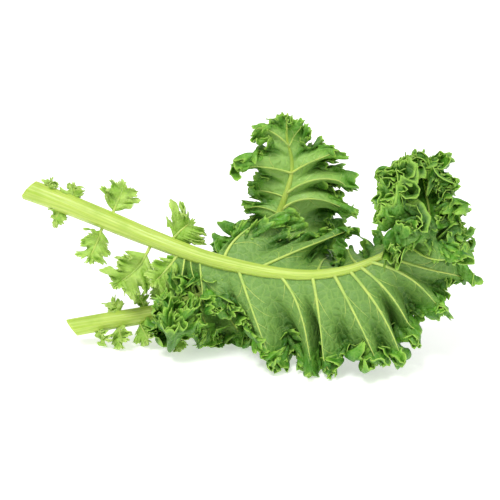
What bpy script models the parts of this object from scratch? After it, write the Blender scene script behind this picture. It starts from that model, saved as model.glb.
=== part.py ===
"""Kale bunch: two cut leaves of curly kale lying one on the other.

Each leaf is one closed body: a tapered stem that runs on as the midrib, a lobed blade with a ruffled
edge, and small leaflets on the bare part of the stem. Lengths below are in millimetres.
"""

import math

import bmesh
import bpy
import numpy as np

MM = 0.001
COLLECTION = "kale_bunch"

# From the working point, under the middle of the bunch, to the middle of the finished bunch's base.
BUNCH_CENTRE = (-1.4, 10.8, 0.39)

BLADE_THICKNESS = 4.2
LEAFLET_THICKNESS = 3.4
LEAFLET_STALK = [(0.0, 2.2), (1.0, 1.6)]
COLUMN_PITCH = 3.5
BLADE_ROWS = 14
RUFFLE_LENGTH = 27.0
RUFFLE_HEIGHT = 4.5
FRILL_REACH = 1.09
SINUS_WIDTH = 0.2
FLOOR_GAP = 2.4
GRAIN = 1.7
SHARE_KEPT = 0.07
STEM_SIDES = 5
PATH_STEPS = 40

LEAF_GREEN = (0.07, 0.27, 0.02, 1.0)
BACK_GREEN = (0.05, 0.22, 0.02, 1.0)

# A leaf's stem runs from its cut end to its tip; "radius" gives its radius at shares of that length.
# A lobe is (share of the stem where its vein leaves, a point halfway, the lobe's tip, depth of the
# notch after it). Lobes go from the base to the tip on the near side, and back on the far side.
# A leaflet is (share of the stem, a point halfway, its tip, its width).
FRONT_LEAF = {
    "stem": [(-169, 40, 115), (-145, 33, 108), (-114, 24, 98), (-75, 10, 86), (-37, -4, 76),
             (0, -18, 71), (29, -28, 70), (50, -34, 72), (71, -37, 77), (89, -36, 84), (104, -32, 91),
             (117, -28, 95), (127, -22, 102), (129, -16, 113), (127, -9, 126), (124, -4, 140),
             (119, 0, 152)],
    "radius": [(0.0, 8.2), (0.2, 7.3), (0.4, 5.7), (0.6, 4.1), (0.7, 3.2), (0.8, 2.2), (1.0, 1.0)],
    "near": [
        (0.33, (-58, -7, 68), (-62, -14, 56), 0.20),
        (0.35, (-50, -10, 64), (-52, -18, 50), 0.15),
        (0.36, (-43, -8, 65), (-40, -12, 57), 0.10),
        (0.38, (-35, -16, 58), (-32, -24, 44), 0.35),
        (0.46, (3, -34, 41), (16, -43, 8), 0.22),
        (0.54, (36, -44, 47), (42, -56, 8), 0.22),
        (0.61, (50, -52, 40), (53, -61, 4), 0.16),
        (0.65, (77, -54, 43), (91, -64, 14), 0.06),
        (0.68, (95, -54, 46), (108, -61, 12), 0.14),
        (0.70, (100, -50, 61), (120, -56, 27), 0.10),
        (0.72, (116, -46, 71), (139, -44, 42), 0.12),
        (0.75, (130, -38, 77), (160, -32, 70), 0.22),
        (0.80, (130, -52, 90), (147, -56, 98), 0.30),
        (0.84, (110, -52, 102), (96, -60, 106), 0.30),
        (0.88, (107, -36, 116), (90, -42, 114), 0.30),
        (0.92, (107, -22, 127), (89, -28, 123), 0.30),
        (0.95, (106, -10, 139), (91, -14, 146), 0.30),
    ],
    "far": [
        (0.96, (132, -4, 145), (138, -6, 152), 0.30),
        (0.92, (140, -12, 133), (147, -20, 137), 0.30),
        (0.88, (142, -20, 119), (151, -28, 115), 0.30),
        (0.84, (143, -20, 103), (155, -26, 95), 0.25),
        (0.80, (138, -14, 92), (164, -12, 79), 0.25),
        (0.75, (100, -8, 87), (98, 20, 84), 0.25),
        (0.70, (75, -6, 75), (77, 26, 69), 0.30),
        (0.62, (54, -2, 71), (62, 34, 63), 0.35),
        (0.50, (42, -4, 83), (82, 16, 92), 0.35),
        (0.43, (-4, 2, 93), (32, 20, 103), 0.25),
        (0.41, (-18, -2, 85), (-10, 4, 89), 0.0),
    ],
    "leaflets": [
        (0.05, (-152, 37, 119), (-153, 37, 123), 12),
        (0.08, (-147, 31, 97), (-150, 30, 93), 14),
        (0.10, (-134, 33, 114), (-133, 34, 122), 16),
        (0.17, (-117, 18, 77), (-124, 14, 64), 24),
        (0.18, (-99, 24, 112), (-93, 25, 125), 28),
        (0.28, (-84, 2, 65), (-103, -6, 52), 36),
        (0.31, (-52, 8, 92), (-43, 14, 98), 38),
        (0.34, (-62, -6, 66), (-74, -14, 56), 24),
    ],
}

BACK_LEAF = {
    "stem": [(-136, 4, 16), (-107, 8, 20), (-77, 12, 24), (-50, 18, 29), (-23, 26, 38), (0, 36, 55),
             (16, 44, 77), (24, 48, 98), (31, 50, 120), (32, 50, 136), (28, 47, 154), (28, 42, 174)],
    "radius": [(0.0, 6.8), (0.3, 6.5), (0.45, 5.1), (0.68, 2.9), (0.82, 1.9), (1.0, 1.0)],
    "near": [
        (0.26, (-66, 2, 22), (-68, -8, 10), 0.20),
        (0.29, (-58, 2, 18), (-54, -10, 4), 0.20),
        (0.32, (-46, 8, 20), (-40, -4, 6), 0.15),
        (0.35, (-34, 5, 19), (-26, -5, 4), 0.35),
        (0.40, (-14, 10, 18), (-2, -4, 4), 0.30),
        (0.47, (9, 20, 29), (29, 10, 5), 0.35),
        (0.55, (40, 44, 34), (77, 60, 5), 0.35),
        (0.63, (48, 56, 61), (80, 66, 48), 0.40),
        (0.71, (48, 46, 106), (78, 38, 95), 0.45),
        (0.76, (55, 46, 122), (83, 42, 115), 0.45),
        (0.82, (50, 46, 137), (72, 46, 144), 0.45),
        (0.90, (35, 48, 155), (40, 48, 166), 0.30),
    ],
    "far": [
        (0.90, (16, 42, 160), (1, 38, 164), 0.45),
        (0.82, (11, 42, 132), (-12, 36, 131), 0.45),
        (0.75, (12, 54, 111), (-2, 58, 113), 0.35),
        (0.70, (9, 46, 99), (-5, 46, 98), 0.35),
        (0.61, (2, 60, 75), (-13, 66, 78), 0.35),
        (0.52, (-13, 60, 59), (-27, 72, 63), 0.35),
        (0.44, (-34, 60, 47), (-50, 84, 5), 0.35),
        (0.37, (-48, 48, 36), (-68, 74, 5), 0.30),
        (0.36, (-38, 42, 41), (-45, 60, 54), 0.35),
        (0.34, (-45, 34, 40), (-62, 45, 55), 0.30),
        (0.32, (-52, 24, 30), (-60, 30, 34), 0.0),
    ],
    "leaflets": [
        (0.07, (-112, 0, 10), (-107, -4, 7), 14),
        (0.12, (-98, 0, 10), (-97, -8, 4), 22),
        (0.14, (-101, 12, 29), (-106, 14, 34), 14),
        (0.18, (-80, 3, 12), (-77, -4, 6), 24),
        (0.21, (-82, 16, 31), (-87, 18, 38), 16),
        (0.27, (-52, -3, 14), (-50, -13, 5), 36),
        (0.30, (-65, 20, 39), (-77, 22, 48), 26),
    ],
}


def clear_scene():
    for obj in list(bpy.data.objects):
        bpy.data.objects.remove(obj, do_unlink=True)


def smooth_path(points):
    """A Catmull-Rom curve through the points, as (share of its length, position) arrays."""
    points = np.array(points, float)
    ends = np.vstack([2 * points[0] - points[1], points, 2 * points[-1] - points[-2]])
    steps = np.linspace(0.0, 1.0, PATH_STEPS, endpoint=False)[:, None]
    spans = []
    for before, start, end, after in zip(ends, ends[1:], ends[2:], ends[3:]):
        linear = (end - before) * steps
        square = (2 * before - 5 * start + 4 * end - after) * steps**2
        cube = (3 * start - before - 3 * end + after) * steps**3
        spans.append(start + 0.5 * (linear + square + cube))
    path = np.vstack(spans + [points[-1:]])
    length = np.concatenate([[0.0], np.cumsum(np.linalg.norm(np.diff(path, axis=0), axis=1))])
    return length / length[-1], path


def at_share(path, share):
    shares, points = path
    return np.stack([np.interp(share, shares, points[:, axis]) for axis in range(3)], axis=-1)


class Blade:
    """A lobed sheet that spans from one vein to the next, all round its midrib."""

    def __init__(self, path, near, far, tip_share=0.97):
        middle = at_share(path, (tip_share + 1.0) / 2)
        tip = (tip_share, middle, at_share(path, 1.0), near[-1][3])
        lobes = [*near, tip, *far]
        self.path = path
        self.share = np.array([lobe[0] for lobe in lobes])
        self.notch = np.array([lobe[3] for lobe in lobes[:-1]])
        base = at_share(path, self.share)
        halfway = np.array([lobe[1] for lobe in lobes], float)
        end = np.array([lobe[2] for lobe in lobes], float)
        self.reach = end - base
        self.bend = 2 * halfway - 0.5 * (base + end) - base
        self.place_columns()

    def vein(self, index, along):
        along = along[:, None]
        return 2 * along * (1 - along) * self.bend[index] + along**2 * self.reach[index]

    def flat_point(self, web, across, out):
        """A point of the sheet: in a web between two veins, across it, and out from the midrib."""
        share = self.share[web] * (1 - across) + self.share[web + 1] * across
        notch = self.notch[web] * np.exp(-(((across - 0.5) / SINUS_WIDTH) ** 2))
        along = out * (1 - notch)
        mixed = (1 - across)[:, None] * self.vein(web, along)
        mixed = mixed + across[:, None] * self.vein(web + 1, along)
        return at_share(self.path, share) + mixed

    def place_columns(self):
        """Measures the outline, so that columns and ruffles are even along it."""
        samples = np.linspace(0.0, 1.0, PATH_STEPS, endpoint=False)
        webs = len(self.notch)
        self.station = np.append((np.arange(webs)[:, None] + samples).ravel(), webs - 1e-6)
        web = self.station.astype(int)
        outline = self.flat_point(web, self.station - web, np.ones(len(web)))
        steps = np.linalg.norm(np.diff(outline, axis=0), axis=1)
        self.outline = np.concatenate([[0.0], np.cumsum(steps)])

    def point(self, turn, out):
        """A point of the ruffled sheet; turn runs from 0 to 1 along the outline."""
        length = turn * self.outline[-1]
        station = np.interp(length, self.outline, self.station)
        web = station.astype(int)
        flat = self.flat_point(web, station - web, out)
        beside = self.flat_near(length + 1.0, out) - self.flat_near(length - 1.0, out)
        outward = self.flat_near(length, out + 0.02) - self.flat_near(length, out - 0.02)
        normal = np.cross(beside, outward)
        normal /= np.linalg.norm(normal, axis=1)[:, None] + 1e-9
        wave = RUFFLE_HEIGHT * out**2 * np.sin(2 * math.pi * length / RUFFLE_LENGTH)
        return flat + wave[:, None] * normal

    def flat_near(self, length, out):
        station = np.interp(length, self.outline, self.station)
        web = station.astype(int)
        return self.flat_point(web, station - web, out)


def sheet_mesh(name, blade, rows, thickness):
    """The blade as a closed shell: a grid laid over it, given its thickness."""
    columns = max(int(blade.outline[-1] / COLUMN_PITCH), 6)
    grid = bmesh.new()
    bmesh.ops.create_grid(grid, x_segments=columns, y_segments=rows, size=1.0)
    places = np.array([vertex.co for vertex in grid.verts])
    points = blade.point((places[:, 0] + 1) / 2, (places[:, 1] + 1) / 2 * FRILL_REACH)
    points[:, 2] = np.maximum(points[:, 2], FLOOR_GAP)
    for vertex, point in zip(grid.verts, points):
        vertex.co = point * MM
    mesh = bpy.data.meshes.new(name)
    grid.to_mesh(mesh)
    grid.free()
    sheet = bpy.data.objects.new(name, mesh)
    bpy.context.scene.collection.objects.link(sheet)
    wall = sheet.modifiers.new("wall", "SOLIDIFY")
    wall.thickness = thickness * MM
    wall.offset = 0.0
    return closed_copy(sheet, name)


def closed_copy(obj, name):
    """The object's evaluated mesh, with its seams welded; the object is removed."""
    evaluated = obj.evaluated_get(bpy.context.evaluated_depsgraph_get())
    mesh = bpy.data.meshes.new_from_object(evaluated)
    mesh.name = name
    bpy.data.objects.remove(obj, do_unlink=True)
    welded = bmesh.new()
    welded.from_mesh(mesh)
    bmesh.ops.remove_doubles(welded, verts=welded.verts, dist=0.01 * MM)
    welded.to_mesh(mesh)
    welded.free()
    return mesh


def stem_mesh(name, path, radii, stations=36):
    """A tapered tube along the stem, with its ends filled."""
    shares = np.linspace(0.0, 1.0, stations)
    points = at_share(path, shares) * MM
    sizes = np.interp(shares, [share for share, _ in radii], [size for _, size in radii])
    curve = bpy.data.curves.new(name, "CURVE")
    curve.dimensions = "3D"
    curve.bevel_depth = MM
    curve.bevel_resolution = STEM_SIDES
    curve.use_fill_caps = True
    spline = curve.splines.new("POLY")
    spline.points.add(len(points) - 1)
    for place, point, size in zip(spline.points, points, sizes):
        place.co = (*point, 1.0)
        place.radius = size
    tube = bpy.data.objects.new(name, curve)
    bpy.context.scene.collection.objects.link(tube)
    return closed_copy(tube, name)


def leaflet_blade(path, share, halfway, tip, width):
    """A small fan-shaped blade that grows from the stem: a vein of its own with three lobes a side."""
    base = at_share(path, share)
    own = smooth_path([base, halfway, tip])
    forward = np.array(tip, float) - base
    forward /= np.linalg.norm(forward)
    side = np.cross(forward, (0.25, 1.0, 0.35))
    side /= np.linalg.norm(side)
    sides = []
    for hand in (1.0, -1.0):
        rows = []
        for start, size in ((0.25, 0.35), (0.45, 0.5), (0.75, 0.4)):
            reach = (side * hand + 0.5 * forward) * width * size
            root = at_share(own, start)
            rows.append((start, root + 0.5 * reach, root + reach, 0.3))
        sides.append(rows)
    return Blade(own, sides[0], sides[1][::-1], tip_share=0.85)


def principled(name, colour):
    material = bpy.data.materials.new(name)
    material.use_nodes = True
    shader = material.node_tree.nodes["Principled BSDF"]
    shader.inputs["Base Color"].default_value = colour
    shader.inputs["Roughness"].default_value = 0.5
    shader.inputs["Metallic"].default_value = 0.0
    return material


def joined(name, meshes):
    """One object that holds all the meshes, still overlapping, with the bunch's base at the origin."""
    whole = bmesh.new()
    for mesh in meshes:
        whole.from_mesh(mesh)
    bmesh.ops.translate(whole, verts=whole.verts, vec=[-MM * shift for shift in BUNCH_CENTRE])
    mesh = bpy.data.meshes.new(name)
    whole.to_mesh(mesh)
    whole.free()
    return bpy.data.objects.new(name, mesh)


def reachable(start):
    """The vertices that edges join to this one."""
    found = {start}
    waiting = [start]
    while waiting:
        vertex = waiting.pop()
        for edge in vertex.link_edges:
            other = edge.other_vert(vertex)
            if other not in found:
                found.add(other)
                waiting.append(other)
    return found


def without_crumbs(mesh):
    """Removes the crumbs that thinning leaves, and keeps the largest body."""
    whole = bmesh.new()
    whole.from_mesh(mesh)
    unseen = set(whole.verts)
    bodies = []
    while unseen:
        body = reachable(next(iter(unseen)))
        unseen -= body
        bodies.append(body)
    main_body = max(bodies, key=len)
    crumbs = [vertex for vertex in whole.verts if vertex not in main_body]
    bmesh.ops.delete(whole, geom=crumbs, context="VERTS")
    whole.to_mesh(mesh)
    whole.free()
    return mesh


def make_leaf(name, leaf, colour, collection):
    """Stem, blade and leaflets, grown together by a fine remesh and thinned to a light mesh."""
    path = smooth_path(leaf["stem"])
    blade = Blade(path, leaf["near"], leaf["far"])
    meshes = [stem_mesh(f"{name}_stem", path, leaf["radius"]),
              sheet_mesh(f"{name}_blade", blade, BLADE_ROWS, BLADE_THICKNESS)]
    for number, (share, halfway, tip, width) in enumerate(leaf["leaflets"]):
        small = leaflet_blade(path, share, halfway, tip, width)
        meshes.append(sheet_mesh(f"{name}_leaflet_{number}", small, 6, LEAFLET_THICKNESS))
        meshes.append(stem_mesh(f"{name}_stalk_{number}", small.path, LEAFLET_STALK, 8))
    whole = joined(f"{name}_parts", meshes)
    bpy.context.scene.collection.objects.link(whole)
    grown = whole.modifiers.new("grown_together", "REMESH")
    grown.mode = "VOXEL"
    grown.voxel_size = GRAIN * MM
    light = whole.modifiers.new("light", "DECIMATE")
    light.ratio = SHARE_KEPT
    mesh = without_crumbs(closed_copy(whole, name))
    mesh.materials.append(principled(f"{name}_green", colour))
    grown_leaf = bpy.data.objects.new(name, mesh)
    collection.objects.link(grown_leaf)
    return grown_leaf


def main():
    clear_scene()
    collection = bpy.data.collections.new(COLLECTION)
    bpy.context.scene.collection.children.link(collection)
    make_leaf("front_leaf", FRONT_LEAF, LEAF_GREEN, collection)
    make_leaf("back_leaf", BACK_LEAF, BACK_GREEN, collection)


main()
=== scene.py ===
"""Looks of a small bunch of curly kale: two cut leaves lying one on the other.

Each blade is a grid laid from vein to vein round its midrib, then ruffled along its edge at three
scales, curled over at its rim and given its thickness. More frills stand off the rim where it is
crowded, raised veins run on the underside, and leaflets grow from the bare part of the stem.
Lengths are in millimetres up to the moment that a mesh is written, in metres.
"""

import math

import bmesh
import bpy
import numpy as np
from bpy.props import FloatProperty, FloatVectorProperty, IntProperty, PointerProperty
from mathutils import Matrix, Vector


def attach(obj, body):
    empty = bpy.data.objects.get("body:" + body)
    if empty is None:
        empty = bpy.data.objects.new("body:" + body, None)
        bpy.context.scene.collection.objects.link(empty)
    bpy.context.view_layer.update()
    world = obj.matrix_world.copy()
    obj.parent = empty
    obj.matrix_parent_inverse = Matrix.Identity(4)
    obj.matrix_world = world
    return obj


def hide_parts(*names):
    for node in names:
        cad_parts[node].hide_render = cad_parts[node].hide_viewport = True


bl_info = {
    "name": "Kale Bunch",
    "version": (1, 0, 0),
    "blender": (4, 5, 0),
    "location": "View3D > Sidebar > Kale",
    "description": "Builds two curly kale leaves round their fixed frame",
    "category": "Add Mesh",
}

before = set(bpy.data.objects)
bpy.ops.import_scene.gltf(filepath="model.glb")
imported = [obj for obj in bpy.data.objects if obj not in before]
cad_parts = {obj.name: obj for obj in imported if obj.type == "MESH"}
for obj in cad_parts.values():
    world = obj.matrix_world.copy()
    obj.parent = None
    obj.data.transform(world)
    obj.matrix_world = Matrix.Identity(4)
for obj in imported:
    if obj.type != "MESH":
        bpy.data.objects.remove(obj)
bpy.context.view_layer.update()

MM = 0.001
ROOT = "root"

# The middle of the bunch's base, in the working millimetres that the tables below use.
BUNCH_CENTRE = np.array((-1.4, 10.8, 0.39))

# Samples of a path between two of its points, and of the outline between two veins.
PATH_STEPS = 40
# How much of the space between two lobes its notch takes, and where the veins end on the midrib.
SINUS_WIDTH = 0.2
TIP_SHARE = 0.97

# A leaf's stem runs from its cut end to its tip; "radius" gives its radius at shares of that length.
# A lobe is (share of the stem where its vein leaves, a point halfway, the lobe's tip, depth of the
# notch after it). Lobes go from the base to the tip on the near side, and back on the far side.
# A leaflet is (share of the stem, a point halfway, its tip, its width).
# A flounce is where the crowded edge folds over itself: (first vein, last vein, depth, mean turn in
# radians, seed); veins count round the leaf as the lobes do.
# "look" picks the blade's materials, and "slant" is how far the stem's cut leans, for its radius.
FRONT_LEAF = {
    "look": "",
    "slant": 0.45,
    "flounces": [(0, 22, 12.0, -1.7, 100), (0, 21, 11.0, 1.5, 200), (12, 21, 15.0, 1.5, 310),
                 (12, 21, 19.0, 1.3, 420)],
    "stem": [(-169, 40, 115), (-145, 33, 108), (-114, 24, 98), (-75, 10, 86), (-37, -4, 76),
             (0, -18, 71), (29, -28, 70), (50, -34, 72), (71, -37, 77), (89, -36, 84), (104, -32, 91),
             (117, -28, 95), (127, -22, 102), (129, -16, 113), (127, -9, 126), (124, -4, 140),
             (119, 0, 152)],
    "radius": [(0.0, 8.2), (0.2, 7.3), (0.4, 5.6), (0.6, 3.9), (0.7, 3.0), (0.8, 1.8), (1.0, 0.5)],
    "near": [
        (0.33, (-58, -7, 68), (-62, -14, 56), 0.20),
        (0.35, (-50, -10, 64), (-52, -18, 50), 0.15),
        (0.36, (-43, -8, 65), (-40, -12, 57), 0.10),
        (0.38, (-35, -16, 58), (-32, -24, 44), 0.35),
        (0.46, (3, -34, 41), (18, -50, 4), 0.22),
        (0.54, (36, -44, 47), (43, -60, 4), 0.22),
        (0.61, (50, -52, 40), (53, -61, 4), 0.16),
        (0.65, (77, -54, 43), (91, -64, 14), 0.06),
        (0.68, (95, -54, 46), (108, -61, 12), 0.14),
        (0.70, (100, -50, 61), (120, -56, 27), 0.10),
        (0.72, (116, -46, 71), (139, -44, 42), 0.12),
        (0.75, (130, -38, 77), (160, -32, 70), 0.22),
        (0.80, (130, -52, 90), (147, -56, 98), 0.30),
        (0.84, (110, -52, 102), (96, -60, 106), 0.30),
        (0.88, (107, -36, 116), (90, -42, 114), 0.30),
        (0.92, (107, -22, 127), (89, -28, 123), 0.30),
        (0.95, (106, -10, 139), (91, -14, 146), 0.30),
    ],
    "far": [
        (0.96, (132, -4, 145), (138, -6, 152), 0.30),
        (0.92, (140, -12, 133), (147, -20, 137), 0.30),
        (0.88, (142, -20, 119), (151, -28, 115), 0.30),
        (0.84, (143, -20, 103), (155, -26, 95), 0.25),
        (0.80, (138, -14, 92), (164, -12, 79), 0.25),
        (0.75, (100, -8, 87), (98, 20, 84), 0.25),
        (0.70, (75, -6, 75), (77, 26, 69), 0.30),
        (0.62, (54, -2, 71), (62, 34, 63), 0.35),
        (0.50, (42, -4, 83), (82, 16, 92), 0.35),
        (0.43, (-4, 2, 93), (32, 20, 103), 0.25),
        (0.41, (-18, -2, 85), (-10, 4, 89), 0.0),
    ],
    "leaflets": [
        (0.05, (-152, 37, 119), (-153, 37, 123), 12),
        (0.08, (-147, 31, 97), (-150, 30, 93), 14),
        (0.10, (-134, 33, 114), (-133, 34, 122), 16),
        (0.17, (-117, 18, 77), (-124, 14, 64), 24),
        (0.18, (-99, 24, 112), (-93, 25, 125), 28),
        (0.28, (-84, 2, 65), (-103, -6, 52), 36),
        (0.31, (-52, 8, 92), (-43, 14, 98), 38),
        (0.34, (-62, -6, 66), (-74, -14, 56), 24),
    ],
}

BACK_LEAF = {
    # The back leaf's look is a lighter copy of the front leaf's greens: painted light on its lit, backlit
    # top.
    "look": "back_",
    "slant": -0.5,
    "flounces": [(0, 7, 13.0, -1.7, 100), (18, 24, 12.0, -1.5, 500), (0, 8, 9.0, 1.2, 200),
                 (17, 24, 9.0, 1.2, 300), (0, 6, 18.0, -1.2, 400)],
    "stem": [(-136, 4, 16), (-107, 8, 20), (-77, 12, 24), (-50, 18, 29), (-23, 26, 38), (0, 36, 55),
             (16, 44, 77), (24, 48, 98), (31, 50, 120), (32, 50, 136), (28, 47, 154), (28, 42, 174)],
    "radius": [(0.0, 6.8), (0.3, 6.5), (0.45, 4.8), (0.68, 2.7), (0.82, 1.7), (0.92, 1.0), (1.0, 0.5)],
    "near": [
        (0.26, (-66, 2, 22), (-68, -8, 10), 0.20),
        (0.29, (-62, -10, 18), (-60, -19, 52), 0.15),
        (0.31, (-50, -12, 16), (-40, -20, 49), 0.15),
        (0.35, (-34, 5, 19), (-26, -5, 4), 0.22),
        (0.40, (-14, 10, 18), (-2, -4, 4), 0.30),
        (0.47, (9, 20, 29), (29, 10, 5), 0.22),
        (0.55, (40, 44, 34), (77, 60, 5), 0.22),
        (0.63, (48, 56, 61), (80, 66, 48), 0.25),
        (0.71, (48, 46, 106), (78, 38, 95), 0.42),
        (0.76, (55, 46, 122), (83, 42, 115), 0.42),
        (0.82, (50, 46, 137), (72, 46, 144), 0.42),
        (0.90, (35, 48, 155), (40, 48, 166), 0.30),
    ],
    "far": [
        (0.90, (16, 42, 160), (1, 38, 164), 0.42),
        (0.82, (11, 42, 132), (-12, 36, 131), 0.42),
        (0.75, (12, 54, 111), (-2, 58, 113), 0.40),
        (0.70, (9, 46, 99), (-5, 46, 98), 0.35),
        (0.61, (2, 60, 75), (-13, 66, 78), 0.22),
        (0.52, (-13, 60, 59), (-27, 72, 63), 0.22),
        (0.44, (-34, 60, 47), (-50, 84, 5), 0.22),
        (0.37, (-48, 48, 36), (-68, 74, 5), 0.30),
        (0.36, (-38, 42, 41), (-45, 60, 54), 0.22),
        (0.34, (-45, 34, 40), (-62, 45, 55), 0.30),
        (0.32, (-52, 24, 30), (-60, 30, 34), 0.0),
    ],
    "leaflets": [
        (0.07, (-112, 0, 10), (-107, -4, 7), 14),
        (0.12, (-98, 0, 10), (-97, -8, 4), 22),
        (0.14, (-101, 12, 29), (-106, 14, 34), 14),
        (0.18, (-80, 3, 12), (-77, -4, 6), 24),
        (0.21, (-82, 16, 31), (-87, 18, 38), 16),
        (0.27, (-52, -3, 14), (-50, -13, 5), 36),
        (0.30, (-65, 20, 39), (-77, 22, 48), 26),
    ],
}

# Ruffles: (wavelength along the edge, depth of the band they fill, steepness at the edge in radians,
# how far their crests lean out or in, in radians).
RUFFLES = ((24.0, 40.0, 0.8, 0.3), (8.0, 18.0, 2.0, 1.2), (2.4, 9.0, 1.7, 1.4))
# How much a ruffle's length and height vary, and the pitch of that, in its own wavelengths.
RUFFLE_VARIETY = 0.4
PACE_PITCH, HEIGHT_PITCH, LEAN_PITCH = 1.7, 2.3, 1.1
# Ruffles grow from this share of the way out, by this power; a ruffled edge keeps at least this
# share of its own advance; what strays over more than the window is taken out.
RUFFLE_START = 0.35
RUFFLE_POWER = 0.8
LEAST_ADVANCE = 0.3
DRIFT_WINDOW = 40.0
# Size of the ruffles' tables: a step along the edge, and rows from the midrib to the edge.
TABLE_STEP = 0.15
TABLE_ROWS = 36
# Where the veins crowd together or spread apart, heights follow their pace within these limits.
LEAST_PACE, MOST_PACE = 0.25, 1.2

# The outermost band curls over: its depth, its mean and greatest extra angle, how soon that changes,
# and a slower change of a smaller size.
CURL_BAND = 8.0
CURL_MEAN = -0.5
CURL_SPREAD = 1.7
CURL_PITCH = 4.2
SLOW_CURL = 0.4
SLOW_CURL_PITCH = 3.1 * CURL_PITCH
MOST_CURLED = 0.8

# Teeth on the rim: the band they fill, their length and depth, and how their length drifts.
TOOTH_BAND = 3.0
TOOTH_LENGTH = 1.3
TOOTH_DEPTH = 2.2
TOOTH_DRIFT = (1.3, 3.0)
TOOTH_MIDDLE = 0.6

# Between two veins the sheet bulges a little, and folds away deeply towards the edge. Short blades
# fold less than one of full depth, and the far side of a leaf less than its near side.
WEB_BULGE = 2.6
BULGE_RISE = 0.4
FOLD_DEPTH = 27.0
LEAST_FOLD = 0.25
FOLD_START, FOLD_RISE = 0.25, 0.6
FOLD_POWER = 1.5
FULL_DEPTH = 70.0
FAR_FOLD = 0.4

# The surface below presses up what would sink into it, over this height, and stays this far off.
FLOOR_CUSHION = 3.0
FLOOR_CLEARANCE = 0.45

BLADE_THICKNESS = 0.55
BLADE_BANDS = (0.6, 0.82)
FRILL_ROWS = 4
FRILL_BANDS = (0.15, 0.5)
FRILL_COARSENESS = 1.3
LEAFLET_ROWS = 5
LEAFLET_BANDS = (0.3, 0.6)
LEAFLET_STRENGTH = 0.6
LEAFLET_TIP_SHARE = 0.85
# A leaflet's lobes on one side: (share of its vein, reach as a share of its width).
LEAFLET_LOBES = ((0.25, 0.35), (0.45, 0.5), (0.75, 0.4))
STALK_RADII = (1.5, 0.35)

STEM_ROWS = 140
STEM_SIDES = 44
STEM_RIBS = 9
RIB_DEPTH = 0.03
# The cut end of a stem: rows of the stem that its slant reaches, and its bevelled edge as
# (share of the stem, size).
CUT_ROWS = 5
CUT_BEVEL = ((0.0, 0.9), (0.002, 1.0))
STEM_START = 0.005

# Sun lamps: (name, turn, angle that they spread over, share of the key light's strength).
LAMPS = (("key", (0.55, 0.0, -0.5), 0.35, 1.0), ("fill", (0.8, 0.0, 0.9), 0.9, 0.45))
BACKDROP_STRENGTH = 1.1
CAMERA_TARGET = np.array((0.0, 0.0, 79.4)) - BUNCH_CENTRE


def smooth_step(value):
    value = np.clip(value, 0.0, 1.0)
    return value * value * (3.0 - 2.0 * value)


def smooth_path(points):
    """A Catmull-Rom curve through the points, as (share of its length, position) arrays."""
    points = np.array(points, float)
    ends = np.vstack([2 * points[0] - points[1], points, 2 * points[-1] - points[-2]])
    steps = np.linspace(0.0, 1.0, PATH_STEPS, endpoint=False)[:, None]
    spans = []
    for before, start, end, after in zip(ends, ends[1:], ends[2:], ends[3:]):
        linear = (end - before) * steps
        square = (2 * before - 5 * start + 4 * end - after) * steps**2
        cube = (3 * start - before - 3 * end + after) * steps**3
        spans.append(start + 0.5 * (linear + square + cube))
    path = np.vstack(spans + [points[-1:]])
    length = np.concatenate([[0.0], np.cumsum(np.linalg.norm(np.diff(path, axis=0), axis=1))])
    return length / length[-1], path


def at_share(path, share):
    shares, points = path
    return np.stack([np.interp(share, shares, points[:, axis]) for axis in range(3)], axis=-1)


def wandering(random, length, pitch):
    """A smooth random line between -1 and 1 with a knot every pitch, as a function of length."""
    knots = np.arange(-1, int(length / pitch) + 3) * pitch
    values = random.uniform(-1.0, 1.0, len(knots))

    def line(place):
        index = np.clip(np.searchsorted(knots, place) - 1, 0, len(knots) - 2)
        part = smooth_step((place - knots[index]) / pitch)
        return values[index] * (1 - part) + values[index + 1] * part

    return line


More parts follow.
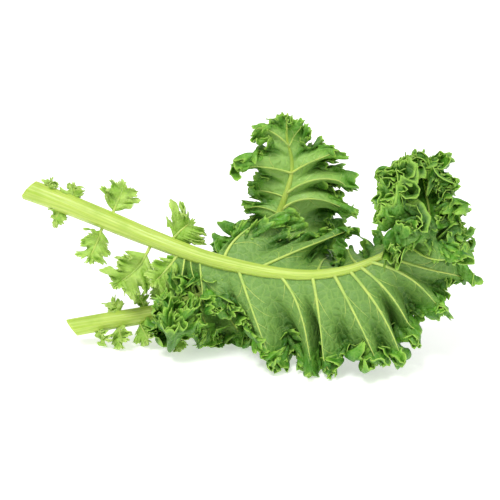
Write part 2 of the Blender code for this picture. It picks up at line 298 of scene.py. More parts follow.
class Blade:
    """A lobed sheet that spans from one vein to the next, all round its midrib, with ruffled edges."""

    def __init__(self, path, near, far, seed, tip_share=TIP_SHARE, strength=1.0, flounce=None):
        middle = at_share(path, (tip_share + 1.0) / 2)
        tip = (tip_share, middle, at_share(path, 1.0), near[-1][3])
        lobes = [*near, tip, *far]
        self.near_webs = len(near)
        self.path = path
        self.strength = strength
        self.share = np.array([lobe[0] for lobe in lobes])
        self.notch = np.array([lobe[3] for lobe in lobes[:-1]])
        base = at_share(path, self.share)
        halfway = np.array([lobe[1] for lobe in lobes], float)
        end = np.array([lobe[2] for lobe in lobes], float)
        self.reach = end - base
        self.bend = 2 * halfway - 0.5 * (base + end) - base
        self.measure_outline()
        self.band, mean, frill_seed = flounce or (CURL_BAND, CURL_MEAN * strength, 0)
        self.make_ruffles(np.random.default_rng(seed), np.random.default_rng(seed + frill_seed + 7), mean)

    def vein(self, index, along):
        along = along[..., None]
        return 2 * along * (1 - along) * self.bend[index] + along**2 * self.reach[index]

    def web_point(self, station, out):
        """A point of the plain sheet: station counts veins round the leaf, out runs from the midrib."""
        web = np.clip(station.astype(int), 0, len(self.notch) - 1)
        across = station - web
        share = self.share[web] * (1 - across) + self.share[web + 1] * across
        notch = self.notch[web] * np.exp(-(((across - 0.5) / SINUS_WIDTH) ** 2))
        along = out * (1 - notch)
        mixed = (1 - across)[..., None] * self.vein(web, along)
        mixed = mixed + across[..., None] * self.vein(web + 1, along)
        return at_share(self.path, share) + mixed

    def measure_outline(self):
        """Measures the outline and each column, so that ruffles have one size all round."""
        samples = np.linspace(0.0, 1.0, PATH_STEPS, endpoint=False)
        webs = len(self.notch)
        self.station = np.append((np.arange(webs)[:, None] + samples).ravel(), webs)
        outline = self.web_point(self.station, np.ones(len(self.station)))
        steps = np.linalg.norm(np.diff(outline, axis=0), axis=1)
        self.outline = np.concatenate([[0.0], np.cumsum(steps)])
        self.length = self.outline[-1]
        rows = np.linspace(0.0, 1.0, 9)
        column = self.web_point(self.station[:, None] + 0 * rows, rows + 0 * self.station[:, None])
        self.column = np.linalg.norm(np.diff(column, axis=1), axis=2).sum(axis=1)

    def station_at(self, length):
        return np.interp(length, self.outline, self.station)

    def column_at(self, length):
        return np.interp(length, self.outline, self.column)

    def plain(self, length, out):
        return self.web_point(self.station_at(length), out)

    def make_ruffles(self, random, frill_random, curl_mean):
        """Tables of the ruffles' travel along and across the sheet, at each length and row."""
        self.fold = FOLD_DEPTH * random.uniform(LEAST_FOLD, 1.0, len(self.notch) + 1)
        places = np.arange(0.0, self.length + TABLE_STEP, TABLE_STEP)
        rows = np.linspace(0.0, 1.0, TABLE_ROWS)
        inward = self.column_at(places)[:, None] * (1 - rows)
        angle = np.zeros_like(inward)
        before = np.zeros_like(inward)
        self.heights = []
        self.leans = []
        for wave, band, steepness, lean in RUFFLES:
            pace = 1 + RUFFLE_VARIETY * wandering(random, self.length, PACE_PITCH * wave)(places)
            turn = np.cumsum(2 * math.pi * TABLE_STEP / (wave * pace))
            height = 1 + RUFFLE_VARIETY * wandering(random, self.length, HEIGHT_PITCH * wave)(places)
            growth = smooth_step(1 - inward / band) ** RUFFLE_POWER * smooth_step(rows / RUFFLE_START)
            sway = np.sin(turn + random.uniform(0, 2 * math.pi)) * height
            angle += self.strength * steepness * growth * sway[:, None]
            self.travel, whole = travelled(angle, int(DRIFT_WINDOW / TABLE_STEP))
            self.heights.append(whole - before)
            self.leans.append(lean * wandering(random, self.length, LEAN_PITCH * wave)(places))
            before = whole
            random = frill_random
        self.places = places
        spread = CURL_SPREAD * self.strength
        self.curl = curl_mean + spread * wandering(random, self.length, CURL_PITCH)(places)
        self.curl += SLOW_CURL * spread * wandering(random, self.length, SLOW_CURL_PITCH)(places)

    def from_table(self, table, length, out):
        column = np.clip(length / TABLE_STEP, 0, len(self.places) - 1.001)
        row = np.clip(out, 0, 1) * (TABLE_ROWS - 1.001)
        left, low = column.astype(int), row.astype(int)
        part, rise = column - left, row - low
        lower = table[left, low] * (1 - part) + table[left + 1, low] * part
        upper = table[left, low + 1] * (1 - part) + table[left + 1, low + 1] * part
        return lower * (1 - rise) + upper * rise

    def frame_at(self, length, out):
        """The plain point, the direction and pace along the outline, and the upper side's normal."""
        here = self.plain(length, out)
        low = np.clip(length - 1.0, 0, self.length)
        high = np.clip(length + 1.0, 0, self.length)
        beside = (self.plain(high, out) - self.plain(low, out)) / (high - low)[..., None]
        outward = self.plain(length, out + 0.03) - self.plain(length, np.maximum(out - 0.03, 0.001))
        pace = np.linalg.norm(beside, axis=-1)
        normal = np.cross(beside, outward)
        normal /= np.linalg.norm(normal, axis=-1)[..., None] + 1e-9
        return here, beside, pace, normal

    def folded(self, length, out):
        """How far the sheet lies off the plain one between its veins."""
        station = self.station_at(length)
        web = np.abs(np.sin(math.pi * station))
        bulge = WEB_BULGE * self.strength * web * smooth_step(out / BULGE_RISE)
        size = np.minimum(self.column_at(length) / FULL_DEPTH, 1.0)
        size = size * np.where(station < self.near_webs, 1.0, FAR_FOLD)
        rise = smooth_step((out - FOLD_START) / FOLD_RISE)
        return bulge + self.fold[station.astype(int)] * size * web**FOLD_POWER * rise

    def curled(self, length, out):
        """How deep a point is in the band that curls over, and how far it has turned there."""
        column = self.column_at(length)
        band = np.minimum(self.band, MOST_CURLED * column)
        past = np.maximum(band - column * (1 - out), 0.0)
        turn = np.interp(length, self.places, self.curl) * past / band
        return past, np.where(np.abs(turn) < 1e-4, 1e-4, turn)

    def point(self, length, out, lift=0.0):
        """A point of the ruffled sheet in millimetres, lifted off its upper side."""
        here, beside, pace, normal = self.frame_at(length, out)
        travel = self.from_table(self.travel, length, out)
        outward = np.cross(normal, beside)
        outward /= np.linalg.norm(outward, axis=-1)[..., None] + 1e-9
        moved = here + travel[..., None] * beside + (self.folded(length, out) + lift)[..., None] * normal
        past, turn = self.curled(length, out)
        moved += (past * (np.sin(turn) / turn - 1))[..., None] * outward
        moved += (past * (1 - np.cos(turn)) / turn)[..., None] * normal
        cosine, sine = np.cos(turn)[..., None], np.sin(turn)[..., None]
        normal, outward = cosine * normal - sine * outward, cosine * outward + sine * normal
        pace = np.clip(pace, LEAST_PACE, MOST_PACE)
        for heights, leans in zip(self.heights, self.leans):
            height = self.from_table(heights, length, out) * pace
            lean = np.interp(length, self.places, leans)
            moved += (height * np.cos(lean))[..., None] * normal
            moved += (height * np.sin(lean))[..., None] * outward
        return on_the_floor(moved - BUNCH_CENTRE)


def travelled(angle, window):
    """How far a line that swings by these angles strays along and across its mean direction."""
    stretch = 1 / np.clip(moving_mean(np.cos(angle), window), LEAST_ADVANCE, 1.0)
    along = np.cumsum(stretch * np.cos(angle) - 1, axis=0) * TABLE_STEP
    across = np.cumsum(stretch * np.sin(angle), axis=0) * TABLE_STEP
    return along - moving_mean(along, window), across - moving_mean(across, window)


def moving_mean(values, window):
    """Each value's mean over a window along the first axis, the ends repeated."""
    half = window // 2
    padded = np.concatenate([np.repeat(values[:1], half + 1, 0), values, np.repeat(values[-1:], half, 0)])
    total = np.cumsum(padded, axis=0)
    return (total[2 * half + 1:] - total[: -2 * half - 1]) / (2 * half + 1)


def on_the_floor(points):
    """Presses what would pass through the surface gently up on to it."""
    low = points[..., 2] < FLOOR_CUSHION
    soft = FLOOR_CUSHION - FLOOR_CLEARANCE
    below = np.minimum(points[..., 2], FLOOR_CUSHION) - FLOOR_CUSHION
    pressed = FLOOR_CLEARANCE + soft * np.exp(below / soft)
    points[..., 2] = np.where(low, pressed, points[..., 2])
    return points


def deselect_all():
    if bpy.context.object and bpy.context.object.mode != "OBJECT":
        bpy.ops.object.mode_set(mode="OBJECT")
    bpy.ops.object.select_all(action="DESELECT")


def activate(obj):
    deselect_all()
    obj.select_set(True)
    bpy.context.view_layer.objects.active = obj


def refine_above(obj, height):
    """Cuts every face above a height of the flat grid into four."""
    activate(obj)
    bpy.ops.object.mode_set(mode="EDIT")
    grid = bmesh.from_edit_mesh(obj.data)
    bpy.ops.mesh.select_all(action="DESELECT")
    for face in grid.faces:
        face.select_set(face.calc_center_median().y > height)
    bmesh.update_edit_mesh(obj.data)
    bpy.ops.mesh.subdivide(number_cuts=1)
    bpy.ops.object.mode_set(mode="OBJECT")


def vertex_places(mesh):
    places = np.zeros(len(mesh.vertices) * 3)
    mesh.vertices.foreach_get("co", places)
    return places.reshape(-1, 3)


def set_places(mesh, places):
    mesh.vertices.foreach_set("co", places.ravel())
    mesh.update()


def add_attribute(mesh, name, values):
    layer = mesh.attributes.new(name, "FLOAT", "POINT")
    layer.data.foreach_set("value", np.asarray(values, np.float32))


def chart(name, columns, rows, bands):
    """A flat grid two units wide and high, finer towards its upper edge."""
    deselect_all()
    bpy.ops.mesh.primitive_grid_add(x_subdivisions=columns, y_subdivisions=rows, size=2.0)
    grid = bpy.context.object
    grid.name = name
    for band in bands:
        refine_above(grid, 2 * band - 1)
    return grid


def blade_sheet(name, blade, first, last, pitch, rows, bands, depth=None, look=""):
    """The stretch of a blade between two of its veins, as a thin closed leaf.

    With a depth it is only the edge, that many millimetres deep.
    """
    start = np.interp(first, blade.station, blade.outline)
    end = np.interp(last, blade.station, blade.outline)
    scale = 2 ** len(bands)
    columns = max(int((end - start) / (pitch * scale)), 4)
    sheet = chart(name, columns, rows, bands)
    places = vertex_places(sheet.data)
    length = start + (end - start) * (places[:, 0] + 1) / 2
    out = (places[:, 1] + 1) / 2
    column = blade.column_at(length)
    if depth is not None:
        out = 1 - (1 - out) * np.minimum(depth / column, 0.9)
    inward = column * (1 - out)
    drift = TOOTH_DRIFT[0] * np.sin(length / TOOTH_DRIFT[1])
    tooth = TOOTH_DEPTH * (np.abs(np.sin(math.pi * length / TOOTH_LENGTH + drift)) - TOOTH_MIDDLE)
    reach = out + smooth_step(1 - inward / TOOTH_BAND) * tooth / column
    set_places(sheet.data, blade.point(length, np.maximum(reach, 0.004)) * MM)
    station = blade.station_at(length)
    web = station - np.floor(station)
    add_attribute(sheet.data, "inward", inward)
    add_attribute(sheet.data, "between", np.abs(np.sin(math.pi * web)))
    add_attribute(sheet.data, "out", out)
    finish_sheet(sheet, look=look)
    return sheet


def finish_sheet(sheet, look=""):
    """Thickness, underside and edge materials, and smooth shading."""
    settings = bpy.context.scene.kale_bunch
    sheet.data.materials.clear()
    for material in leaf_materials(settings, look):
        sheet.data.materials.append(material)
    activate(sheet)
    wall = sheet.modifiers.new("wall", "SOLIDIFY")
    wall.thickness = BLADE_THICKNESS * MM
    wall.offset = 0.0
    wall.use_rim = True
    wall.material_offset = 1
    wall.material_offset_rim = 2
    bpy.ops.object.modifier_apply(modifier=wall.name)
    bpy.ops.object.shade_smooth()


def tube(name, points, radii, sides=8, ridges=0, ridge_depth=0.0, slant=0.0):
    """A closed tapered tube through the points: a grid rolled up, its seam merged and its ends filled."""
    deselect_all()
    rows = len(points)
    bpy.ops.mesh.primitive_grid_add(x_subdivisions=sides, y_subdivisions=rows - 1, size=2.0)
    roll = bpy.context.object
    roll.name = name
    places = vertex_places(roll.data)
    row = np.rint((places[:, 1] + 1) / 2 * (rows - 1)).astype(int)
    angle = -math.pi * places[:, 0]
    forward = np.gradient(points, axis=0)
    forward /= np.linalg.norm(forward, axis=1)[:, None]
    side = np.cross(forward, (0.05, 0.2, 1.0))
    side /= np.linalg.norm(side, axis=1)[:, None]
    up = np.cross(side, forward)
    radius = radii[row] * (1 + ridge_depth * np.cos(ridges * angle))
    ring = np.cos(angle)[:, None] * side[row] + np.sin(angle)[:, None] * up[row]
    push = slant * np.sin(angle) * radius * np.clip(1 - row / CUT_ROWS, 0, 1)
    set_places(roll.data, points[row] + ring * radius[:, None] + forward[row] * push[:, None])
    add_attribute(roll.data, "along", (places[:, 1] + 1) / 2)
    add_attribute(roll.data, "round", angle)
    activate(roll)
    bpy.ops.object.mode_set(mode="EDIT")
    bpy.ops.mesh.select_all(action="SELECT")
    bpy.ops.mesh.remove_doubles(threshold=1e-6)
    bpy.ops.mesh.select_all(action="SELECT")
    bpy.ops.mesh.fill_holes(sides=0)
    bpy.ops.mesh.select_all(action="SELECT")
    bpy.ops.mesh.normals_make_consistent(inside=False)
    bpy.ops.object.mode_set(mode="OBJECT")
    bpy.ops.object.shade_smooth()
    return roll


def join(pieces, name):
    """Joins pieces into the first one."""
    deselect_all()
    for piece in pieces:
        piece.select_set(True)
    bpy.context.view_layer.objects.active = pieces[0]
    if len(pieces) > 1:
        bpy.ops.object.join()
    whole = bpy.context.view_layer.objects.active
    whole.name = name
    whole.data.name = name
    return whole


# Materials


class Nodes:
    """A short way to add and link a material's nodes."""

    def __init__(self, name):
        self.material = bpy.data.materials.new(name)
        self.material.use_nodes = True
        self.tree = self.material.node_tree
        self.shader = self.tree.nodes["Principled BSDF"]

    def add(self, kind, inputs=None, **settings):
        node = self.tree.nodes.new(kind)
        for key, value in settings.items():
            setattr(node, key, value)
        for key, value in (inputs or {}).items():
            self.feed(node.inputs[key], value)
        return node

    def feed(self, socket, value):
        if isinstance(value, bpy.types.NodeSocket):
            self.tree.links.new(value, socket)
        else:
            socket.default_value = value

    def coordinates(self, scale=(1.0, 1.0, 1.0)):
        place = self.add("ShaderNodeTexCoord")
        mapping = self.add("ShaderNodeMapping", {"Vector": place.outputs["Object"], "Scale": scale})
        return mapping.outputs["Vector"]

    def attribute(self, name):
        return self.add("ShaderNodeAttribute", attribute_name=name).outputs["Fac"]

    def ramp(self, value, low, high, start=0.0, end=1.0):
        """The value scaled smoothly from low..high to start..end."""
        node = self.add("ShaderNodeMapRange", {"Value": value, "From Min": low, "From Max": high,
                                               "To Min": start, "To Max": end})
        node.interpolation_type = "SMOOTHSTEP"
        return node.outputs["Result"]

    def mix(self, part, first, second, blend="MIX"):
        node = self.add("ShaderNodeMix", data_type="RGBA", blend_type=blend)
        self.feed(node.inputs[0], part)
        self.feed(node.inputs[6], first)
        self.feed(node.inputs[7], second)
        return node.outputs[2]

    def noise(self, vector, scale, detail=3.0, roughness=0.55):
        inputs = {"Vector": vector, "Scale": scale, "Detail": detail, "Roughness": roughness}
        return self.add("ShaderNodeTexNoise", inputs).outputs["Fac"]

    def cells(self, vector, scale, feature="DISTANCE_TO_EDGE"):
        node = self.add("ShaderNodeTexVoronoi", {"Vector": vector, "Scale": scale}, feature=feature)
        return node.outputs["Distance"]

    def maths(self, operation, first, second=0.0):
        node = self.add("ShaderNodeMath", operation=operation)
        self.feed(node.inputs[0], first)
        self.feed(node.inputs[1], second)
        return node.outputs[0]

    def bump(self, height, distance, strength=1.0, normal=None):
        inputs = {"Height": height, "Distance": distance, "Strength": strength}
        if normal is not None:
            inputs["Normal"] = normal
        return self.add("ShaderNodeBump", inputs).outputs["Normal"]


def rgba(colour):
    return (*colour[:3], 1.0)


def blade_material(name, deep, mid, rim, vein, fine_vein, rough, pale=None):
    """Leaf skin: mottled green with a net of small veins, painted shade in the deep folds towards the
    edge, and a painted glow of light towards the frilled edge.
    """
    nodes = Nodes(name)
    place = nodes.coordinates()
    warped = nodes.add("ShaderNodeVectorMath", operation="ADD")
    nodes.feed(warped.inputs[0], place)
    drift = nodes.add("ShaderNodeTexNoise", {"Vector": place, "Scale": 120.0, "Detail": 1.0})
    shift = nodes.add("ShaderNodeVectorMath", operation="SCALE")
    nodes.feed(shift.inputs[0], drift.outputs["Color"])
    shift.inputs["Scale"].default_value = 0.0035
    nodes.feed(warped.inputs[1], shift.outputs[0])
    net = nodes.cells(warped.outputs[0], 150.0)
    fine = nodes.cells(warped.outputs[0], 420.0)
    mottle = nodes.noise(place, 55.0, 4.0)
    colour = nodes.mix(nodes.ramp(mottle, 0.35, 0.7), rgba(deep), rgba(mid))
    inward = nodes.attribute("inward")
    # Painted shade: the deep folds between the veins are darkened towards the edge, where shade falls in
    # them.
    painted_fold_shade = nodes.maths("MULTIPLY", nodes.ramp(nodes.attribute("between"), 0.7, 1.0),
                         nodes.ramp(nodes.attribute("out"), 0.35, 0.85))
    if pale is not None:
        middle = nodes.maths("MULTIPLY", nodes.ramp(inward, 7.0, 22.0), 0.85)
        colour = nodes.mix(middle, colour, rgba(pale))
    fold_shade_colour = [0.6 * part for part in deep]
    colour = nodes.mix(nodes.maths("MULTIPLY", painted_fold_shade, 0.85), colour, rgba(fold_shade_colour))
    net_line = nodes.maths("MULTIPLY", nodes.ramp(net, 0.0, 0.09, 1.0, 0.0), fine_vein)
    colour = nodes.mix(net_line, colour, rgba(vein))
    fine_line = nodes.maths("MULTIPLY", nodes.ramp(fine, 0.0, 0.12, 1.0, 0.0), 0.45 * fine_vein)
    colour = nodes.mix(fine_line, colour, rgba(vein))
    # Painted light: the colour brightens towards the frilled edge, standing in for light glowing through
    # the thin rim.
    edge = nodes.maths("MULTIPLY", nodes.ramp(inward, 0.1, 2.4, 1.0, 0.0), 0.8)
    colour = nodes.mix(edge, colour, rgba(rim))
    nodes.feed(nodes.shader.inputs["Base Color"], colour)
    roughness = nodes.ramp(nodes.noise(place, 180.0), 0.3, 0.7, rough - 0.07, rough + 0.09)
    nodes.feed(nodes.shader.inputs["Roughness"], roughness)
    pillow = nodes.ramp(net, 0.0, 0.35)
    grain = nodes.ramp(fine, 0.0, 0.3)
    normal = nodes.bump(grain, 0.00025, 0.5)
    normal = nodes.bump(pillow, 0.0007, 0.7, normal)
    nodes.feed(nodes.shader.inputs["Normal"], normal)
    set_flesh(nodes.shader, 0.13, 0.0014)
    return nodes.material


def set_flesh(shader, weight, depth):
    """The glow of light inside a thin juicy leaf."""
    shader.inputs["Subsurface Weight"].default_value = weight
    shader.inputs["Subsurface Radius"].default_value = (0.7, 1.0, 0.2)
    shader.inputs["Subsurface Scale"].default_value = depth
    shader.inputs["Specular IOR Level"].default_value = 0.4


def leaf_materials(settings, look=""):
    """The upper side, the underside and the cut edge of a blade or a leaflet, made once."""
    names = [f"kale_{look}{side}" for side in ("upper", "underside", "rim")]
    if all(name in bpy.data.materials for name in names):
        return [bpy.data.materials[name] for name in names]
    if look == "leaflet_":
        for name in names[:2]:
            blade_material(name, settings.leaflet_deep, settings.leaflet_green, settings.leaflet_rim_glow,
                           settings.vein_green, 0.25, 0.5)
    # Painted light: the back leaf's greens are a lighter, lit copy of the front leaf's.
    elif look == "back_":
        blade_material(names[0], settings.back_lit_deep, settings.back_lit_green, settings.rim_glow_green,
                       settings.vein_green, 0.16, 0.42)
        blade_material(names[1], settings.back_lit_deep, settings.back_lit_green, settings.rim_glow_green,
                       settings.vein_green, 0.2, 0.48, settings.back_lit_pale)
    else:
        blade_material(names[0], settings.upper_deep, settings.upper_green, settings.rim_glow_green,
                       settings.vein_green, 0.16, 0.42)
        blade_material(names[1], settings.under_deep, settings.under_green, settings.rim_glow_green,
                       settings.vein_green, 0.22, 0.5, settings.under_pale)
    rim = Nodes(names[2])
    # Painted light: the cut edge takes the bright edge green that stands in for light glowing through the
    # thin rim.
    shade = settings.leaflet_rim_glow if look == "leaflet_" else settings.rim_glow_green
    colour = rim.mix(rim.noise(rim.coordinates(), 300.0), rgba(shade), rgba(settings.vein_green))
    colour = rim.mix(rim.ramp(rim.attribute("inward"), 2.5, 4.5), colour, rgba(settings.upper_deep))
    rim.feed(rim.shader.inputs["Base Color"], colour)
    rim.shader.inputs["Roughness"].default_value = 0.45
    set_flesh(rim.shader, 0.2, 0.0016)
    return [bpy.data.materials[name] for name in names]


def stem_material(settings):
    """Pale juicy stem: fine lengthwise strings, greener patches and a soft gloss."""
    if "kale_stem" in bpy.data.materials:
        return bpy.data.materials["kale_stem"]
    nodes = Nodes("kale_stem")
    place = nodes.coordinates()
    around = nodes.attribute("round")
    along = nodes.attribute("along")
    strings = nodes.add("ShaderNodeCombineXYZ")
    nodes.feed(strings.inputs[0], nodes.maths("MULTIPLY", around, 4.0))
    nodes.feed(strings.inputs[1], nodes.maths("MULTIPLY", along, 5.0))
    fibre = nodes.noise(strings.outputs[0], 1.6, 3.0)
    cloud = nodes.noise(place, 45.0, 3.0)
    colour = nodes.mix(nodes.ramp(fibre, 0.35, 0.68), rgba(settings.stem_green), rgba(settings.stem_pale))
    colour = nodes.mix(nodes.ramp(cloud, 0.5, 0.75, 0.0, 0.5), colour, rgba(settings.stem_shade))
    colour = nodes.mix(nodes.ramp(along, 0.0, 0.0025, 0.85, 0.0), colour, rgba(settings.cut_pale))
    nodes.feed(nodes.shader.inputs["Base Color"], colour)
    nodes.feed(nodes.shader.inputs["Roughness"], nodes.ramp(cloud, 0.3, 0.7, 0.28, 0.42))
    normal = nodes.bump(fibre, 0.0006, 0.5)
    nodes.feed(nodes.shader.inputs["Normal"], normal)
    set_flesh(nodes.shader, 0.3, 0.004)
    return nodes.material


def vein_material(settings):
    if "kale_vein" in bpy.data.materials:
        return bpy.data.materials["kale_vein"]
    nodes = Nodes("kale_vein")
    place = nodes.coordinates()
    tint = nodes.ramp(nodes.noise(place, 90.0), 0.3, 0.7)
    colour = nodes.mix(tint, rgba(settings.vein_green), rgba(settings.stem_pale))
    nodes.feed(nodes.shader.inputs["Base Color"], colour)
    nodes.shader.inputs["Roughness"].default_value = 0.42
    set_flesh(nodes.shader, 0.2, 0.002)
    return nodes.material


# Pieces

LEAVES = {"front_leaf": FRONT_LEAF, "back_leaf": BACK_LEAF}
SEEDS = {"front_leaf": 21, "back_leaf": 34}
BLADES = {}


def leaf_blade(name, flounce=None):
    """The named leaf's blade or one of its flounces, worked out once."""
    key = (name, flounce)
    if key not in BLADES:
        leaf = LEAVES[name]
        path = smooth_path(leaf["stem"])
        BLADES[key] = Blade(path, leaf["near"], leaf["far"], SEEDS[name], flounce=flounce)
    return BLADES[key]


def leaflet_blade(path, share, halfway, tip, width, seed):
    """A small fan-shaped blade that grows from the stem: a vein of its own with lobes on each side."""
    base = at_share(path, share)
    own = smooth_path([base, halfway, tip])
    forward = np.array(tip, float) - base
    forward /= np.linalg.norm(forward)
    side = np.cross(forward, (0.25, 1.0, 0.35))
    side /= np.linalg.norm(side)
    sides = []
    for hand in (1.0, -1.0):
        rows = []
        for start, size in LEAFLET_LOBES:
            reach = (side * hand + 0.5 * forward) * width * size
            root = at_share(own, start)
            rows.append((start, root + 0.5 * reach, root + reach, 0.3))
        sides.append(rows)
    return Blade(own, sides[0], sides[1][::-1], seed, LEAFLET_TIP_SHARE, LEAFLET_STRENGTH)


def claim(piece, node):
    """Puts a finished piece under the bunch's body and hides the plain part of the leaf that it stands
    for.
    """
    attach(piece, ROOT)
    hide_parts(node)


def make_blades(name, settings):
    blade = leaf_blade(name)
    webs = len(blade.notch)
    turn = blade.near_webs
    for label, first, last in (("near", 0, turn), ("far", turn, webs)):
        sheet = blade_sheet(f"{name}_blade_{label}", blade, first, last, settings.edge_pitch,
                            settings.blade_rows, BLADE_BANDS, look=LEAVES[name]["look"])
        claim(sheet, name)


def make_flounces(name, settings):
    """Frills that stand off both faces of the edge, and more of them where it is tightly curled."""
    for number, (first, last, depth, turn, seed) in enumerate(LEAVES[name]["flounces"]):
        blade = leaf_blade(name, (depth, turn, seed))
        last = min(last, len(blade.notch))
        pitch = FRILL_COARSENESS * settings.edge_pitch
        sheet = blade_sheet(f"{name}_frill_{number}", blade, first, last, pitch, FRILL_ROWS,
                            FRILL_BANDS, depth=depth, look=LEAVES[name]["look"])
        claim(sheet, name)


def vein_line(blade, station, start, end, drift, count):
    """Points of a vein on the underside, from one row out to another, drifting round the leaf."""
    part = np.linspace(0.0, 1.0, count)
    stations = station + drift * part
    length = np.interp(stations, blade.station, blade.outline)
    out = start + (end - start) * part
    return length, out


def make_veins(name, settings):
    """Raised veins: one along each lobe, with branches that leave it on both sides."""
    blade = leaf_blade(name)
    webs = len(blade.notch)
    random = np.random.default_rng(SEEDS[name] + 5)
    tubes = []
    for vein in range(1, webs):
        column = blade.column[np.searchsorted(blade.station, vein)]
        size = min(1.0, column / 70.0)
        length, out = vein_line(blade, float(vein), 0.0, 0.93, 0.0, 22)
        radius = (0.25 + 0.95 * size) * (1 - out) ** 1.2 + 0.16
        points = blade.point(length, out, lift=-0.55 * radius - 0.2) * MM
        tubes.append(tube(f"{name}_vein_{vein}", points, radius * MM, sides=8))
        branches = max(int(column / 20.0), 1)
        for hand in (-1.0, 1.0):
            for step in range(branches):
                start = 0.10 + 0.72 * (step + random.uniform(0.2, 0.8)) / branches
                reach = random.uniform(0.2, 0.32)
                drift = hand * random.uniform(0.30, 0.46)
                length, out = vein_line(blade, float(vein), start, min(start + reach, 0.95), drift, 10)
                thick = (0.16 + 0.2 * size) * (1 - 0.5 * start)
                radius = thick * np.linspace(1.0, 0.35, 10)
                points = blade.point(length, out, lift=-0.3 * radius - 0.2) * MM
                tubes.append(tube(f"{name}_branch", points, radius * MM, sides=6))
    veins = join(tubes, f"{name}_veins")
    veins.data.materials.clear()
    veins.data.materials.append(vein_material(settings))
    claim(veins, name)


def make_stem(name, settings):
    """The stem from its cut end on into the midrib, faintly ribbed along its length."""
    leaf = LEAVES[name]
    path = smooth_path(leaf["stem"])
    bevel = [share for share, _ in CUT_BEVEL]
    shares = np.concatenate([bevel, np.linspace(STEM_START, 1.0, STEM_ROWS)])
    points = at_share(path, shares) - BUNCH_CENTRE
    radii = np.interp(shares, [share for share, _ in leaf["radius"]], [size for _, size in leaf["radius"]])
    radii[: len(CUT_BEVEL)] *= [size for _, size in CUT_BEVEL]
    stem = tube(f"{name}_stem", points * MM, radii * MM, STEM_SIDES, STEM_RIBS, RIB_DEPTH, leaf["slant"])
    stem.data.materials.clear()
    stem.data.materials.append(stem_material(settings))
    claim(stem, name)


def make_leaflets(name, settings):
    leaf = LEAVES[name]
    path = smooth_path(leaf["stem"])
    sheets, stalks = [], []
    for number, (share, halfway, tip, width) in enumerate(leaf["leaflets"]):
        blade = leaflet_blade(path, share, halfway, tip, width, SEEDS[name] + 11 * number + 3)
        webs = len(blade.notch)
        sheets.append(blade_sheet(f"{name}_leaflet_{number}", blade, 0, webs, settings.edge_pitch,
                                  LEAFLET_ROWS, LEAFLET_BANDS, look="leaflet_"))
        count = 20
        part = np.linspace(0.0, 1.0, count)
        points = on_the_floor(at_share(blade.path, part) - BUNCH_CENTRE) * MM
        radius = np.linspace(*STALK_RADII, count) * MM
        stalks.append(tube(f"{name}_stalk_{number}", points, radius, sides=8))
    leaflets = join(sheets, f"{name}_leaflets")
    claim(leaflets, name)
    stalk = join(stalks, f"{name}_stalks")
    stalk.data.materials.clear()
    stalk.data.materials.append(vein_material(settings))
    claim(stalk, name)


def make_stage(settings):
    deselect_all()
    bpy.ops.mesh.primitive_plane_add(size=8.0, location=(0.0, 0.0, 0.0))
    floor = bpy.context.object
    floor.name = "studio_floor"
    nodes = Nodes("studio_floor")
    nodes.shader.inputs["Base Color"].default_value = (0.92, 0.92, 0.91, 1.0)
    nodes.shader.inputs["Roughness"].default_value = 0.35
    nodes.shader.inputs["Emission Color"].default_value = (1.0, 1.0, 1.0, 1.0)
    nodes.shader.inputs["Emission Strength"].default_value = settings.floor_glow
    floor.data.materials.append(nodes.material)
    world = bpy.data.worlds.new("studio")
    world.use_nodes = True
    tree = world.node_tree
    sky = tree.nodes["Background"]
    sky.inputs["Color"].default_value = (1.0, 1.0, 1.0, 1.0)
    rays = tree.nodes.new("ShaderNodeLightPath")
    strength = tree.nodes.new("ShaderNodeMapRange")
    strength.inputs["To Min"].default_value = settings.sky_strength
    strength.inputs["To Max"].default_value = BACKDROP_STRENGTH
    tree.links.new(rays.outputs["Is Camera Ray"], strength.inputs["Value"])
    tree.links.new(strength.outputs["Result"], sky.inputs["Strength"])
    bpy.context.scene.world = world
    for label, turn, softness, share in LAMPS:
        bpy.ops.object.light_add(type="SUN", rotation=turn)
        lamp = bpy.context.object
        lamp.name = f"studio_{label}"
        lamp.data.angle = softness
        lamp.data.energy = share * settings.key_power
    add_camera(settings)
    bpy.context.scene.view_settings.view_transform = "Standard"


def aim_at(obj, target):
    direction = Vector(target) - obj.location
    obj.rotation_euler = direction.to_track_quat("-Z", "Y").to_euler()


def add_camera(settings):
    back = settings.camera_distance * math.cos(settings.camera_height)
    rise = settings.camera_distance * math.sin(settings.camera_height)
    place = CAMERA_TARGET * MM + np.array((0.0, -back, rise))
    bpy.ops.object.camera_add(location=tuple(place))
    camera = bpy.context.object
    camera.name = "studio_camera"
    camera.data.lens = 85.0
    camera.data.sensor_width = 36.0
    aim_at(camera, tuple(CAMERA_TARGET * MM))
    bpy.context.scene.camera = camera


def colour_property(name, description, default):
    return FloatVectorProperty(name=name, description=description, default=default, subtype="COLOR",
                               size=3, min=0.0, max=1.0)


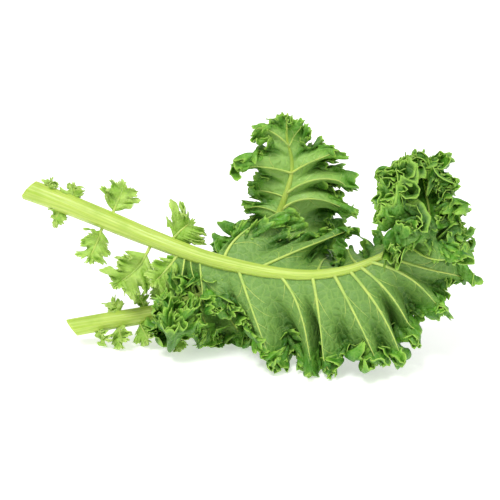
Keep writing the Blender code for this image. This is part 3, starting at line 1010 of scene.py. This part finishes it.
class KaleBunchSettings(bpy.types.PropertyGroup):
    """The sizes and colours of the bunch and its stage."""

    edge_pitch: FloatProperty(name="Edge pitch", description="Distance between columns at the edge, mm",
                              default=0.34, min=0.2, max=3.0)
    blade_rows: IntProperty(name="Blade rows", description="Rows of faces from the midrib to the edge",
                            default=17, min=6, max=40)
    upper_deep: colour_property("Upper deep", "Darkest green of the upper side", (0.035, 0.17, 0.007))
    upper_green: colour_property("Upper green", "Mid green of the upper side", (0.12, 0.36, 0.018))
    under_deep: colour_property("Underside deep", "Darkest green of the underside", (0.055, 0.21, 0.014))
    under_green: colour_property("Underside green", "Mid green of the underside", (0.13, 0.34, 0.03))
    under_pale: colour_property("Underside pale", "Grey green in the middle of the underside",
                                (0.18, 0.335, 0.075))
    # Painted light: the back leaf's greens are a lighter copy of the front leaf's, for its lit and backlit
    # top.
    back_lit_deep: colour_property("Back leaf deep", "Deeper green of the back leaf", (0.075, 0.26, 0.015))
    back_lit_green: colour_property("Back leaf green", "Mid green of the back leaf", (0.20, 0.47, 0.04))
    back_lit_pale: colour_property("Back leaf pale", "Middle of the back leaf's underside", (0.31, 0.52, 0.12))
    leaflet_deep: colour_property("Leaflet deep", "Deeper green of the leaflets", (0.27, 0.49, 0.05))
    leaflet_green: colour_property("Leaflet green", "Pale green of the leaflets", (0.45, 0.65, 0.13))
    # Painted light: the bright rim greens of the leaflets and of the frilled edge stand in for light
    # glowing through the thin edge.
    leaflet_rim_glow: colour_property("Leaflet rim", "Edge of the leaflets", (0.52, 0.72, 0.17))
    rim_glow_green: colour_property("Rim green", "Bright green of the frilled edge", (0.33, 0.60, 0.07))
    vein_green: colour_property("Vein green", "Pale green of the veins", (0.38, 0.56, 0.12))
    stem_green: colour_property("Stem green", "Green of the stem", (0.40, 0.56, 0.07))
    stem_pale: colour_property("Stem pale", "Palest green of the stem", (0.56, 0.69, 0.15))
    cut_pale: colour_property("Cut pale", "Flesh of the cut stem", (0.68, 0.81, 0.2))
    stem_shade: colour_property("Stem shade", "Greenest patches of the stem", (0.30, 0.48, 0.04))
    sky_strength: FloatProperty(name="Sky", description="Strength of the white surroundings", default=0.5)
    key_power: FloatProperty(name="Key light", description="Strength of the main light", default=1.9)
    floor_glow: FloatProperty(name="Floor glow", description="Light that the white table gives off",
                              default=0.46)
    camera_distance: FloatProperty(name="Camera distance", description="From the bunch's middle",
                                   default=0.877, unit="LENGTH")
    camera_height: FloatProperty(name="Camera height", description="Angle above the surface",
                                 default=math.radians(18.0), subtype="ANGLE")


class KALE_OT_front_leaf(bpy.types.Operator):
    """Build the long front leaf: stem, blade, veins and leaflets"""

    bl_idname = "kale.front_leaf"
    bl_label = "Front Leaf"

    def execute(self, context):
        settings = context.scene.kale_bunch
        make_stem("front_leaf", settings)
        make_blades("front_leaf", settings)
        make_flounces("front_leaf", settings)
        make_veins("front_leaf", settings)
        make_leaflets("front_leaf", settings)
        return {"FINISHED"}


class KALE_OT_back_leaf(bpy.types.Operator):
    """Build the back leaf: stem, blade, veins and leaflets"""

    bl_idname = "kale.back_leaf"
    bl_label = "Back Leaf"

    def execute(self, context):
        settings = context.scene.kale_bunch
        make_stem("back_leaf", settings)
        make_blades("back_leaf", settings)
        make_flounces("back_leaf", settings)
        make_veins("back_leaf", settings)
        make_leaflets("back_leaf", settings)
        return {"FINISHED"}


class KALE_OT_stage(bpy.types.Operator):
    """Set the floor, the lights and the camera"""

    bl_idname = "kale.stage"
    bl_label = "Studio Stage"

    def execute(self, context):
        make_stage(context.scene.kale_bunch)
        return {"FINISHED"}


class KALE_PT_panel(bpy.types.Panel):
    """The bunch's pieces and sizes"""

    bl_idname = "KALE_PT_panel"
    bl_label = "Kale Bunch"
    bl_space_type = "VIEW_3D"
    bl_region_type = "UI"
    bl_category = "Kale"

    def draw(self, context):
        settings = context.scene.kale_bunch
        for operator in ("kale.front_leaf", "kale.back_leaf", "kale.stage"):
            self.layout.operator(operator)
        for name in settings.bl_rna.properties.keys():
            if name not in ("rna_type", "name"):
                self.layout.prop(settings, name)


CLASSES = (KaleBunchSettings, KALE_OT_front_leaf, KALE_OT_back_leaf, KALE_OT_stage, KALE_PT_panel)


def register():
    for item in CLASSES:
        bpy.utils.register_class(item)
    bpy.types.Scene.kale_bunch = PointerProperty(type=KaleBunchSettings)


def unregister():
    del bpy.types.Scene.kale_bunch
    for item in reversed(CLASSES):
        bpy.utils.unregister_class(item)


def main():
    register()
    bpy.ops.kale.front_leaf()
    bpy.ops.kale.back_leaf()
    bpy.ops.kale.stage()


if __name__ == "__main__":
    main()
